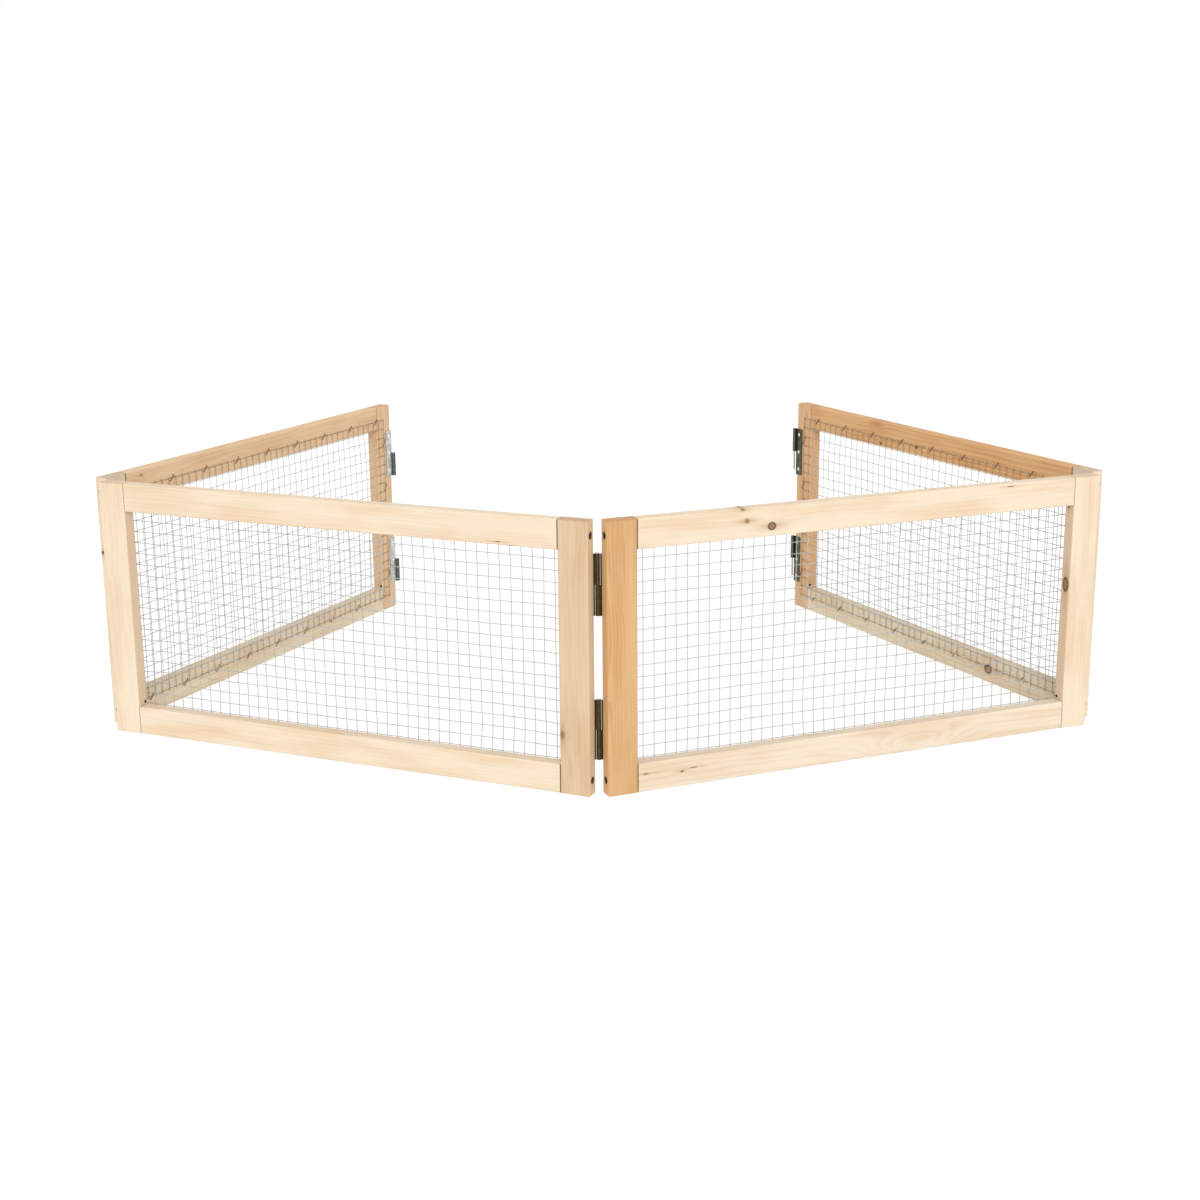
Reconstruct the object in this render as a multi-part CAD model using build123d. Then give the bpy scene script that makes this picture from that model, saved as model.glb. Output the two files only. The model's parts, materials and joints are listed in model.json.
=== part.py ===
from build123d import *
import math
import os

# A small animal pen: four framed mesh panels in a row, joined by lift-off hinges.
# All sizes are in millimetres and all angles in degrees.

# The frame of one panel
panel_length = 610.0
panel_height = 300.0
board_thickness = 16.5
stile_width = 34.0
rail_height = 32.5
long_edge_radius = 1.6
sawn_end_radius = 0.6

# How the pen stands: the angles are measured inside the pen, between neighbours
left_corner_angle = 86.6
centre_angle = 135.4
right_corner_angle = 84.3
right_front_heading = 21.9

# The welded wire mesh on the inner face of each frame
mesh_pitch = 13.0
wire_diameter = 0.8
mesh_clear_of_leaf = 3.3
mesh_lap_on_rail = 12.5
wire_stub = 2.5

# The staples that hold the mesh
staple_crown = 10.5
staple_leg = 7.0
staple_wire_width = 1.2
staple_wire_thickness = 0.5
cells_per_staple = 5
rail_staple_angle = -45.0
stile_staple_angle = -67.0

# The lift-off hinges, two at each joint
hinge_height = 67.0
hinge_setback = 37.0
leaf_on_wood = 13.2
leaf_thickness = 1.2
leaf_lip = 0.7
leaf_corner_radius = 1.5
knuckle_diameter = 5.2
knuckle_gap = 0.4
knuckle_past_end = 0.6
pin_diameter = 2.6
pin_root_extra = 0.4
pin_reach = 27.0
pin_head_overhang = 0.6
pin_head_height = 0.8
pin_tip_chamfer = 0.5
pin_clearance = 0.05

# The small screws through the hinge leaves
leaf_screw_diameter = 2.4
leaf_screw_head = 4.8
leaf_screw_crown = 0.4
leaf_screw_length = 12.0
leaf_screw_inset = 8.5
leaf_screw_from_end = 5.6

# The long screws through the stiles into the rails
frame_screw_diameter = 4.0
frame_screw_head = 7.6
frame_screw_length = 60.0
frame_screw_sink = 1.2

# The cross recess of a screw head, as shares of the head's diameter
recess_span = 0.55
recess_width = 0.14
recess_depth = 0.16

# A pin-nail hole beside each lower corner, on the side that faces the opening
nail_hole_diameter = 2.6
nail_hole_depth = 5.0
nail_hole_above_rail = 3.5

# Space round a screw or a staple leg in its hole, and under a wire or a staple's crown
seat_clearance = 0.05


def whole_cells(length):
    """How many whole mesh cells fit in a length."""
    return math.floor(length / mesh_pitch + 0.001)


# Sizes that follow from the ones above
opening_length = panel_length - 2 * stile_width
opening_height = panel_height - 2 * rail_height
axis_inboard = knuckle_diameter / 2
axis_past_end = knuckle_diameter / 2 + knuckle_past_end
pin_root_diameter = pin_diameter + pin_root_extra
pin_head_diameter = pin_root_diameter + 2 * pin_head_overhang
joint_spacing = panel_length + 2 * axis_past_end
mid_thickness = -board_thickness / 2
mesh_lap_on_stile = stile_width - leaf_on_wood - mesh_clear_of_leaf - wire_stub
mesh_columns = whole_cells(opening_length + 2 * mesh_lap_on_stile)
mesh_rows = whole_cells(opening_height + 2 * mesh_lap_on_rail)
mesh_start = (panel_length - mesh_columns * mesh_pitch) / 2
mesh_base = (panel_height - mesh_rows * mesh_pitch) / 2
hinge_bases = {"lower": hinge_setback, "upper": panel_height - hinge_setback - hinge_height}
rail_bases = {"bottom": 0.0, "top": panel_height - rail_height}
side_names = ("start", "end")

# Each panel, in order round the pen, with the names of its start and end
panels = {
    "left_rear": ("free", "corner"),
    "left_front": ("corner", "centre"),
    "right_front": ("centre", "corner"),
    "right_rear": ("corner", "free"),
}


# A panel is drawn lying along X with its inner face at Y = 0, its wood below that in Y,
# its mesh and hinges above it, and its foot at Z = 0. Its start is at X = 0.


def block(x_range, y_range, z_range):
    """A box between two corners, each range given in either order."""
    spans = [(min(r), max(r)) for r in (x_range, y_range, z_range)]
    size = [high - low for low, high in spans]
    middle = [(high + low) / 2 for low, high in spans]
    return Pos(*middle) * Box(*size)


def rod(radius, start, end):
    """A round bar from one point to another."""
    run = Vector(*end) - Vector(*start)
    return Solid.make_cylinder(radius, run.length, Plane(origin=start, z_dir=run))


def end_x(side):
    """The panel's end face on that side."""
    return 0.0 if side == "start" else panel_length


def inward(side):
    """The direction along X from that end into the panel."""
    return 1 if side == "start" else -1


def group(solids):
    return Compound(children=list(solids))


# Screws and their holes


def screw_body(diameter, head, crown, length, grow=0.0):
    """A countersunk screw along -Z with its head's rim at Z = 0, or its hole when grown."""
    shank = diameter / 2 + grow
    rim = head / 2 + grow
    cone = rim - shank
    tip = diameter / 2
    outline = [(0, crown), (rim * 0.6, crown), (rim, 0), (shank, -cone)]
    outline += [(shank, -length + tip - grow), (0.2 * shank, -length - grow), (0, -length - grow)]
    points = [(x, 0, z) for x, z in outline]
    face = make_face(Polyline(*points, close=True))
    return revolve(face, Axis.Z)


def cross_recess(head, top):
    """The two crossing slots that are cut into a screw's head."""
    half = head * recess_span / 2
    slim = head * recess_width / 2
    floor = top - head * recess_depth
    bar = block((-half, half), (-slim, slim), (floor, top + 1))
    return bar + Rot(0, 0, 90) * bar


def leaf_screw_places(side, level):
    """Where the three screws of one hinge leaf stand, on the face of the leaf."""
    x = end_x(side) + inward(side) * leaf_screw_from_end
    low = hinge_bases[level] + leaf_screw_inset
    high = hinge_bases[level] + hinge_height - leaf_screw_inset
    return [(x, leaf_thickness, z) for z in (low, (low + high) / 2, high)]


def leaf_screw():
    body = screw_body(leaf_screw_diameter, leaf_screw_head, leaf_screw_crown, leaf_screw_length)
    return body - cross_recess(leaf_screw_head, leaf_screw_crown)


def leaf_screw_hole():
    """The hole of a leaf screw, open above so that it cuts the leaf right through."""
    grown = screw_body(leaf_screw_diameter, leaf_screw_head, 1.0, leaf_screw_length, seat_clearance)
    return grown


def on_leaf(shape, place):
    """Turn a screw along -Z so that it goes into the inner face at a place."""
    return Pos(*place) * Rot(-90, 0, 0) * shape


def frame_screw():
    body = screw_body(frame_screw_diameter, frame_screw_head, 0.0, frame_screw_length)
    return body - cross_recess(frame_screw_head, 0.0)


def frame_screw_hole():
    """The hole of a frame screw, with the short mouth above its sunken head."""
    hole = screw_body(frame_screw_diameter, frame_screw_head, 0.0, frame_screw_length, seat_clearance)
    mouth_radius = frame_screw_head / 2 + seat_clearance
    return hole + rod(mouth_radius, (0, 0, 0), (0, 0, frame_screw_sink + 1))


def at_stile_end(shape, side, rail):
    """Turn a screw along -Z so that it goes through a stile into the middle of a rail's end."""
    x = end_x(side) + inward(side) * frame_screw_sink
    z = rail_bases[rail] + rail_height / 2
    return Pos(x, mid_thickness, z) * Rot(0, -90 * inward(side), 0) * shape


# The mesh and its staples


def wire_mesh(shift):
    """Crossing wires that touch where they are welded, the long ones against the wood."""
    radius = wire_diameter / 2
    long_y = seat_clearance + radius
    cross_y = long_y + wire_diameter
    first_x = mesh_start + shift
    last_x = first_x + mesh_columns * mesh_pitch
    top = mesh_base + mesh_rows * mesh_pitch
    wires = []
    for row in range(mesh_rows + 1):
        z = mesh_base + row * mesh_pitch
        wires.append(rod(radius, (first_x - wire_stub, long_y, z), (last_x + wire_stub, long_y, z)))
    for column in range(mesh_columns + 1):
        x = first_x + column * mesh_pitch
        wires.append(rod(radius, (x, cross_y, mesh_base - wire_stub), (x, cross_y, top + wire_stub)))
    return group(wires)


def staple(grow=0.0):
    """A staple whose crown lies along X with its underside at Y = 0 and its legs along -Y."""
    half = staple_crown / 2
    width = staple_wire_width / 2 + grow
    wire = staple_wire_thickness
    reach = staple_leg - wire + grow
    crown = block((-half - grow, half + grow), (-grow, wire + grow), (-width, width))
    legs = [
        block((sign * (half - wire - grow), sign * (half + grow)), (-reach, wire), (-width, width))
        for sign in (-1, 1)
    ]
    return crown + legs[0] + legs[1]


def middle_cells(count):
    """The mesh cells, evenly spread and centred, that a staple sits in."""
    staples = max(1, (count - 1) // cells_per_staple + 1)
    first = (count - 1 - (staples - 1) * cells_per_staple) // 2
    return [first + cells_per_staple * number for number in range(staples)]


def rail_staples(rail, shift):
    """Placings of the staples across the mesh's edge wire on one rail."""
    z = mesh_base if rail == "bottom" else mesh_base + mesh_rows * mesh_pitch
    places = []
    for cell in middle_cells(mesh_columns):
        x = mesh_start + shift + (cell + 0.5) * mesh_pitch
        y = 2 * seat_clearance + wire_diameter
        places.append(Pos(x, y, z) * Rot(0, -rail_staple_angle, 0))
    return places


def stile_staples(side, shift):
    """Placings of the staples across the mesh's edge wire on one stile."""
    x = mesh_start + shift
    if side == "end":
        x += mesh_columns * mesh_pitch
    places = []
    for cell in middle_cells(mesh_rows):
        z = mesh_base + (cell + 0.5) * mesh_pitch
        y = 2 * seat_clearance + 2 * wire_diameter
        places.append(Pos(x, y, z) * Rot(0, -stile_staple_angle, 0))
    return places


def mesh_staples(shift):
    one = staple()
    placings = [place for rail in rail_bases for place in rail_staples(rail, shift)]
    placings += [place for side in side_names for place in stile_staples(side, shift)]
    return group(place * one for place in placings)


# The wooden frame


def board(x_range, z_range, long_axis):
    """A planed board with eased long edges."""
    plank = block(x_range, (-board_thickness, 0), z_range)
    return fillet(plank.edges().filter_by(long_axis), long_edge_radius)


def stile(side, shift):
    """An upright board at one end of a panel, with its holes."""
    outer = end_x(side)
    inner = outer + inward(side) * stile_width
    body = board((outer, inner), (0, panel_height), Axis.Z)
    ends = body.faces().sort_by(Axis.Z)
    body = fillet(ends[0].edges() + ends[-1].edges(), sawn_end_radius)

    cutters = [at_stile_end(frame_screw_hole(), side, rail) for rail in rail_bases]
    for level in hinge_bases:
        cutters += [on_leaf(leaf_screw_hole(), place) for place in leaf_screw_places(side, level)]
    grown = staple(seat_clearance)
    cutters += [place * grown for place in stile_staples(side, shift)]
    nail_z = rail_height + nail_hole_above_rail
    nail_floor = inner - inward(side) * nail_hole_depth
    nail_mouth = inner + inward(side)
    nail_y = mid_thickness / 2
    cutters.append(rod(nail_hole_diameter / 2, (nail_floor, nail_y, nail_z), (nail_mouth, nail_y, nail_z)))
    return body - cutters


def rail(name, shift):
    """A level board between the two stiles, with its holes."""
    base = rail_bases[name]
    body = board((stile_width, panel_length - stile_width), (base, base + rail_height), Axis.X)
    grown = staple(seat_clearance)
    cutters = [at_stile_end(frame_screw_hole(), side, name) for side in side_names]
    cutters += [place * grown for place in rail_staples(name, shift)]
    return body - cutters


# The hinges


def knuckle_span(side, level):
    """The heights between which a leaf's knuckle stands: low at a start, high at an end."""
    base = hinge_bases[level]
    split = base + hinge_height / 2
    if side == "start":
        return base, split - knuckle_gap / 2
    return split + knuckle_gap / 2, base + hinge_height


def axis_x(side):
    """The hinge axis beyond that end of the panel."""
    return end_x(side) - inward(side) * axis_past_end


def hinge_leaf(side, level):
    """A leaf lying on the wood, with a knuckle over half its height."""
    base = hinge_bases[level]
    outer = end_x(side) - inward(side) * leaf_lip
    inner = end_x(side) + inward(side) * leaf_on_wood
    plate = block((outer, inner), (0, leaf_thickness), (base, base + hinge_height))
    corners = plate.edges().filter_by(Axis.Y).sort_by(Axis.X)
    far_corners = corners[-2:] if side == "start" else corners[:2]
    plate = fillet(far_corners, leaf_corner_radius)

    low, high = knuckle_span(side, level)
    x = axis_x(side)
    tongue = block((x, end_x(side)), (0, leaf_thickness), (low, high))
    barrel = rod(knuckle_diameter / 2, (x, axis_inboard, low), (x, axis_inboard, high))
    pin_here = pin_diameter if side == "start" else pin_root_diameter
    bore = rod(pin_here / 2 + pin_clearance, (x, axis_inboard, low - 1), (x, axis_inboard, high + 1))
    holes = [on_leaf(leaf_screw_hole(), place) for place in leaf_screw_places(side, level)]
    return plate + tongue + barrel - bore - holes


def hinge_pin(side, level):
    """A pin with a headed top and a thicker root in an upper knuckle, hanging below it."""
    low, high = knuckle_span("end", level)
    x = axis_x(side)
    foot = hinge_bases[level] + hinge_height / 2 - pin_reach
    shoulder = high + pin_clearance
    shaft = rod(pin_diameter / 2, (x, axis_inboard, foot), (x, axis_inboard, shoulder))
    shaft = chamfer(shaft.faces().sort_by(Axis.Z)[0].edges(), pin_tip_chamfer)
    root = rod(pin_root_diameter / 2, (x, axis_inboard, low), (x, axis_inboard, shoulder))
    head_top = shoulder + pin_head_height
    head = rod(pin_head_diameter / 2, (x, axis_inboard, shoulder), (x, axis_inboard, head_top))
    head = fillet(head.faces().sort_by(Axis.Z)[-1].edges(), pin_head_height * 0.7)
    return shaft + root + head


# One panel and where it stands


def panel_parts(name, ends, shift):
    """All the pieces of one panel, by node name, in the panel's own place."""
    parts = {}
    for side, end_name in zip(side_names, ends):
        parts[f"{name}_{end_name}_stile"] = stile(side, shift)
        for level in hinge_bases:
            parts[f"{name}_{end_name}_{level}_leaf"] = hinge_leaf(side, level)
    for rail_name in rail_bases:
        parts[f"{name}_{rail_name}_rail"] = rail(rail_name, shift)
    parts[f"{name}_wire_mesh"] = wire_mesh(shift)
    parts[f"{name}_mesh_staples"] = mesh_staples(shift)
    long_screw = frame_screw()
    parts[f"{name}_frame_screws"] = group(
        at_stile_end(long_screw, side, rail_name) for side in side_names for rail_name in rail_bases
    )
    short_screw = leaf_screw()
    parts[f"{name}_hinge_screws"] = group(
        on_leaf(short_screw, place)
        for side in side_names
        for level in hinge_bases
        for place in leaf_screw_places(side, level)
    )
    return parts


def standing_places():
    """Where each panel stands, as the pin axis at its start and its heading."""
    headings = {"right_front": right_front_heading}
    headings["left_front"] = right_front_heading - (180 - centre_angle)
    headings["left_rear"] = headings["left_front"] - (180 - left_corner_angle)
    headings["right_rear"] = right_front_heading + (180 - right_corner_angle)

    def step(name):
        angle = math.radians(headings[name])
        return Vector(joint_spacing * math.cos(angle), joint_spacing * math.sin(angle), 0)

    axes = {"right_front": Vector(0, 0, 0)}
    axes["right_rear"] = step("right_front")
    axes["left_front"] = -step("left_front")
    axes["left_rear"] = axes["left_front"] - step("left_rear")
    return {name: (axes[name], headings[name]) for name in panels}


def stand_up(start_axis, heading):
    """The move that takes a panel from its own place to its place in the pen."""
    return Pos(*start_axis) * Rot(0, 0, heading) * Pos(axis_past_end, -axis_inboard, 0)


mesh_shifts = {"left_rear": 0.0, "left_front": 0.0, "right_front": 2.4, "right_rear": 0.0}
pin_names = {
    "left_rear": "left_corner",
    "left_front": "centre",
    "right_front": "right_corner",
    "right_rear": "free_end",
}

nodes = {}
for name, (start_axis, heading) in standing_places().items():
    move = stand_up(start_axis, heading)
    pieces = panel_parts(name, panels[name], mesh_shifts[name])
    for level in hinge_bases:
        pieces[f"{pin_names[name]}_{level}_pin"] = hinge_pin("end", level)
    for node, piece in pieces.items():
        nodes[node] = move * piece

# The pen's own origin is on the ground, in the middle of the space that it covers
whole = Compound(children=[Compound(piece.solids()) for piece in nodes.values()])
bounds = whole.bounding_box()
to_origin = Pos(-bounds.center().X, -bounds.center().Y, -bounds.min.Z)

os.makedirs("parts", exist_ok=True)
for node, piece in nodes.items():
    export_step(to_origin * piece, f"parts/{node}.step")

print(f"{len(nodes)} nodes, {bounds.size.X:.1f} x {bounds.size.Y:.1f} x {bounds.size.Z:.1f} mm")
print(f"mesh of {mesh_columns} by {mesh_rows} cells")
print(f"centre pin axis at {-bounds.center().X:.3f}, {-bounds.center().Y:.3f}")
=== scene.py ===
# %% [markdown]
# # A small animal pen
# Four framed mesh panels stand in a row, joined by lift-off hinges. Everything with a hard size, the
# boards, hinges, pins and screws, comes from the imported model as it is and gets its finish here. The
# wire mesh and the staples could be used as they are too, but real mesh is never quite straight and
# real staples have round shoulders, so these two are made anew and stand in for the plain ones.

# %% Load the frame
import json
import math
from collections import namedtuple

import bpy
import numpy as np
from mathutils import Matrix, Vector


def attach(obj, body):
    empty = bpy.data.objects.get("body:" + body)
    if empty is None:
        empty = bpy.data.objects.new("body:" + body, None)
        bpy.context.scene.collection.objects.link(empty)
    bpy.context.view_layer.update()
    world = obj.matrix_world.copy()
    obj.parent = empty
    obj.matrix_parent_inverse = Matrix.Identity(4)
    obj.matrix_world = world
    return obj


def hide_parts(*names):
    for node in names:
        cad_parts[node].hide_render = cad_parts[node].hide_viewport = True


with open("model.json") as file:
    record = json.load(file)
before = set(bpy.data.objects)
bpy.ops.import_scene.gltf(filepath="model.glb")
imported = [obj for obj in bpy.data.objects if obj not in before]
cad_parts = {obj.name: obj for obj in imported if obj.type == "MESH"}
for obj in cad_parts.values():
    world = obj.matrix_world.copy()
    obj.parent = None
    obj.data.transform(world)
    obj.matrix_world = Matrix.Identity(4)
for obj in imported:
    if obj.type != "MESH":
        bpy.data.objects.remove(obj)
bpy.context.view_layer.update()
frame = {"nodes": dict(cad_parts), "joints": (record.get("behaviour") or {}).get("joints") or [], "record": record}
nodes = frame["nodes"]

# %% [markdown]
# ## Where each panel stands
# A panel is easiest to think about in its own place: X along it, Y through its thickness with the
# wood's inner face at zero, and Z up. In the pen every panel is turned another way. The turns could
# be measured from the boards, but the record already says where the five pin axes stand, and each
# panel's place follows from the axis at its start and the one at its end.

# %% The pin axes, round the pen from its left free end
MM = 0.001
PANELS = ("left_rear", "left_front", "right_front", "right_rear")
hinge_at = {joint["name"]: joint["pos_m"] for joint in frame["joints"] if joint["type"] == "hinge"}
mount_at = {mount["name"]: mount["pos_m"] for mount in frame["record"]["mounts"]}
axis_places = [
    mount_at["free_socket_lower"],
    hinge_at["left_corner_swing"],
    hinge_at["centre_swing"],
    hinge_at["right_corner_swing"],
    mount_at["free_pin_lower"],
]
pin_axes = [Vector((*place[:2], 0)) for place in axis_places]
print("pin axes in mm", [tuple(round(value / MM, 1) for value in axis.xy) for axis in pin_axes])

# %% Each panel's own place
KNUCKLE_RADIUS = 2.6 * MM
KNUCKLE_PAST_END = 0.6 * MM


def panel_place(number):
    """The move from a panel's own place to the pen.

    The heading runs from the panel's first pin axis to its second. From the first axis, the corner
    of the wood lies a knuckle's radius and a small gap along the heading, and a radius to its right.
    """
    run = pin_axes[number + 1] - pin_axes[number]
    turn = Matrix.Rotation(math.atan2(run.y, run.x), 4, "Z")
    corner = pin_axes[number] + turn @ Vector((KNUCKLE_RADIUS + KNUCKLE_PAST_END, -KNUCKLE_RADIUS, 0))
    return Matrix.Translation(corner) @ turn


place_of = {panel: panel_place(number) for number, panel in enumerate(PANELS)}
print("headings", {panel: round(math.degrees(place.to_euler().z), 1) for panel, place in place_of.items()})

# %% [markdown]
# ## The sizes of a panel
# The finishes and the new pieces need to know where the boards end and the opening starts. Sizes that
# are written down twice drift apart sooner or later, so these are measured on the model: a node's
# points are turned back into its panel's own place, where a box round them has true sides.

# %% Measure the boards


def own_box(node, panel):
    """Lowest and highest corner of a CAD node in its panel's own place, in millimetres."""
    flat = np.empty(len(nodes[node].data.vertices) * 3)
    nodes[node].data.vertices.foreach_get("co", flat)
    back = np.array(place_of[panel].inverted())
    points = flat.reshape(-1, 3) @ back[:3, :3].T + back[:3, 3]
    return (points.min(0) / MM).tolist(), (points.max(0) / MM).tolist()


stile_low, stile_high = own_box("left_front_corner_stile", "left_front")
_, rail_high = own_box("left_front_bottom_rail", "left_front")
STILE_WIDTH = stile_high[0] - stile_low[0]
PANEL_HEIGHT = stile_high[2]
RAIL_HEIGHT = rail_high[2]
BOARD_THICKNESS = -stile_low[1]
PANEL_LENGTH = rail_high[0] + STILE_WIDTH
print(f"panel {PANEL_LENGTH:.1f} x {PANEL_HEIGHT:.1f} mm, boards {BOARD_THICKNESS:.1f} mm thick")

# %% [markdown]
# ## Skins of long thin things
# A wire is a small circle carried along a line, and a staple is a flat section carried round two
# bends. Curve objects with a bevel could make both, one by one. Here a skin is a grid of numbers
# instead: rings along the line, and points round each ring. Numpy works out the points of all the
# wires at once, and the faces between them follow one fixed pattern.

# %% The faces of tubes


def tube_faces(skin):
    """Faces of closed tubes whose points are an array of (tubes, rings, sides, 3).

    The point at side t of ring s in tube c has the index (c * rings + s) * sides + t. A quad joins
    (s, t), (s, t + 1), (s + 1, t + 1) and (s + 1, t), and one more face closes each end.
    """
    tubes, rings, sides = skin.shape[:3]
    tube, ring, side = np.meshgrid(np.arange(tubes), np.arange(rings - 1), np.arange(sides), indexing="ij")
    after = (side + 1) % sides
    first = (tube * rings + ring) * sides
    second = first + sides
    quads = np.stack([first + side, first + after, second + after, second + side], -1).reshape(-1, 4)
    starts = np.arange(tubes)[:, None] * rings * sides
    near = starts + np.arange(sides)[::-1]
    far = starts + (rings - 1) * sides + np.arange(sides)
    return [quads, near, far]


print("a six-sided bar has", sum(len(group) for group in tube_faces(np.zeros((1, 2, 6, 3)))), "faces")

# %% [markdown]
# A piece can be made of several such parts, and it has to ride on its panel, so that it moves along
# when the pen is folded. Its points are worked out in the panel's own place and moved to the pen in
# the mesh itself. The object stays at the origin, which keeps patterns in their places.

# %% From points and faces to a piece


def joined(parts):
    """Points and faces of several parts as one: a part's faces count on from the points before it."""
    points, faces, start = [], [], 0
    for part_points, part_faces in parts:
        points.append(part_points.reshape(-1, 3))
        faces += [group + start for group in part_faces]
        start += len(points[-1])
    return np.concatenate(points), faces


def add_piece(name, points, faces, panel, smooth=True):
    """A piece from points in a panel's own place, in millimetres, that rides on the panel."""
    move = np.array(place_of[panel])
    placed = points.reshape(-1, 3) * MM @ move[:3, :3].T + move[:3, 3]
    mesh = bpy.data.meshes.new(name)
    mesh.from_pydata(placed.tolist(), [], [face for group in faces for face in group.tolist()])
    mesh.polygons.foreach_set("use_smooth", np.full(len(mesh.polygons), smooth))
    mesh.update()
    piece = bpy.data.objects.new(name, mesh)
    bpy.context.scene.collection.objects.link(piece)
    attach(piece, panel)
    print(name, len(mesh.vertices), "points", len(mesh.polygons), "faces")
    return piece


# %% [markdown]
# ## The welded wire mesh
# The mesh is galvanised wire, 0.8 mm thick, welded on a 13 mm grid. Its long wires lie against the
# boards, and its cross wires lie over them. Array modifiers on two wires would make a perfect grid,
# but real mesh has come off a roll: it wanders, and no two gaps are quite alike. So every wire is a
# line of points that can be bent. The first step is to find where the straight wires are.

# %% The straight wires
MESH_PITCH = 13.0
WIRE_RADIUS = 0.4
WIRE_STUB = 2.5
WOOD_TO_WIRE = 0.05
LONG_WIRE_Y = WOOD_TO_WIRE + WIRE_RADIUS
CROSS_WIRE_Y = LONG_WIRE_Y + 2 * WIRE_RADIUS


def wires_between(low, high):
    """Where wires cross a stretch: one pitch apart, with a stub beyond the first and the last."""
    cells = round((high - low - 2 * WIRE_STUB) / MESH_PITCH)
    return low + WIRE_STUB + MESH_PITCH * np.arange(cells + 1)


mesh_box = {panel: own_box(f"{panel}_wire_mesh", panel) for panel in PANELS}
cross_at = {panel: wires_between(low[0], high[0]) for panel, (low, high) in mesh_box.items()}
long_at = {panel: wires_between(low[2], high[2]) for panel, (low, high) in mesh_box.items()}
print("long wires", len(long_at["left_front"]), "cross wires", len(cross_at["left_front"]))

# %% [markdown]
# ### How the sheet wanders
# Seen from a step away the wires wander by up to a millimetre or two. Bending each wire by itself
# would pull the welds apart, so the whole sheet gets one smooth shift, a sum of slow waves along it,
# up it and out of it. Over the wood, where the staples hold the mesh, there is no shift at all.

# %% The shift of the sheet
# A wave is its height, its length over 2 pi along the sheet and up it, and how many times it takes
# the phase, which is another for each panel.
WAVES_ALONG = [(0.5, 47, 61, 1), (0.3, 17, -83, 2)]
WAVES_OUT = [(0.7, 97, math.inf, 1), (0.4, 59, 41, 2)]
WAVES_UP = [(0.55, 71, -53, 3), (0.3, 23, 31, 1)]
BULGE = 1.1
EASE_IN = 30.0


def ease(value):
    """Smooth step from 0 to 1: 3 t^2 - 2 t^3, with t held between 0 and 1."""
    t = np.clip(value, 0, 1)
    return t * t * (3 - 2 * t)


def freedom(x, z):
    """0 over the wood and 1 well inside the opening: the product of an ease in from each edge."""
    sideways = ease((x - STILE_WIDTH) / EASE_IN) * ease((PANEL_LENGTH - STILE_WIDTH - x) / EASE_IN)
    upwards = ease((z - RAIL_HEIGHT) / EASE_IN) * ease((PANEL_HEIGHT - RAIL_HEIGHT - z) / EASE_IN)
    return sideways * upwards


def wave_sum(x, z, phase, waves, start=0.0):
    """start + the sum of height * sin(x / along + z / up + times * phase) over the waves."""
    swings = [height * np.sin(x / along + z / up + times * phase) for height, along, up, times in waves]
    return sum(swings, start)


def sheet_shift(x, z, phase):
    """Shift of the sheet at (x, z), in millimetres: three sums of waves, times the freedom there."""
    along = wave_sum(x, z, phase, WAVES_ALONG)
    out = wave_sum(x, z, phase, WAVES_OUT, BULGE)
    up = wave_sum(x, z, phase, WAVES_UP)
    return np.stack([along, out, up], -1) * freedom(x, z)[..., None]


middle_shift = sheet_shift(np.array([PANEL_LENGTH / 2]), np.array([PANEL_HEIGHT / 2]), 1.0)
print("shift at the middle of a sheet in mm", middle_shift.round(2))

# %% [markdown]
# ### The lines of the wires
# Three points to a cell are enough for bends as slow as these. A cut tip gets a second point close
# behind it, so that the wire can be narrower at its very end, as cutters leave it. Each wire also
# stands a little out of its place, by an error that is drawn from a fixed seed, so the mesh comes
# out the same every time.

# %% Bent lines and welds
STEPS_PER_CELL = 3
TIP_LENGTH = WIRE_RADIUS / 2
PITCH_ERROR = 0.2
FIRST_SEED = 11
FIRST_PHASE = 1.0
NEXT_PHASE = 1.7


def steps(low, high, cells):
    """Points along a wire: one at each end, close behind it a second, and an even run between."""
    run = np.linspace(low, high, cells * STEPS_PER_CELL + 1)
    return np.concatenate([[low], [low + TIP_LENGTH], run[1:-1], [high - TIP_LENGTH], [high]])


def bent(x, y, z, error_x, error_z, phase):
    """Points of the bent sheet: the straight place + the wires' errors times the freedom + the shift."""
    free = freedom(x, z)
    nearly_straight = np.stack([x + error_x * free, np.full_like(x, y), z + error_z * free], -1)
    return nearly_straight + sheet_shift(x, z, phase)


def mesh_lines(panel, number):
    """Lines of a panel's long wires and of its cross wires, and the middles of its welds."""
    low, high = mesh_box[panel]
    random = np.random.default_rng(FIRST_SEED + number)
    cross_error = random.normal(0, PITCH_ERROR, len(cross_at[panel]))
    long_error = random.normal(0, PITCH_ERROR, len(long_at[panel]))[:, None]
    phase = FIRST_PHASE + NEXT_PHASE * number
    x, z = np.meshgrid(steps(low[0], high[0], len(cross_at[panel]) - 1), long_at[panel])
    long_lines = bent(x, LONG_WIRE_Y, z, 0.0, long_error, phase)
    z, x = np.meshgrid(steps(low[2], high[2], len(long_at[panel]) - 1), cross_at[panel])
    cross_lines = bent(x, CROSS_WIRE_Y, z, cross_error[:, None], 0.0, phase)
    x, z = np.meshgrid(cross_at[panel], long_at[panel])
    welds = bent(x, (LONG_WIRE_Y + CROSS_WIRE_Y) / 2, z, cross_error, long_error, phase)
    return long_lines, cross_lines, welds.reshape(-1, 3)


print("lines and welds of a panel", [part.shape for part in mesh_lines("left_front", 1)])

# %% [markdown]
# ### Round wires
# Each line gets a skin. A wire is only a pixel or two wide in most pictures, so six sides are round
# enough, and they keep a panel with more than sixty wires light.

# %% The skin of the wires
WIRE_SIDES = 6
TIP_SCALE = 0.6
OUTWARDS = np.array([0.0, 1.0, 0.0])


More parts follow.
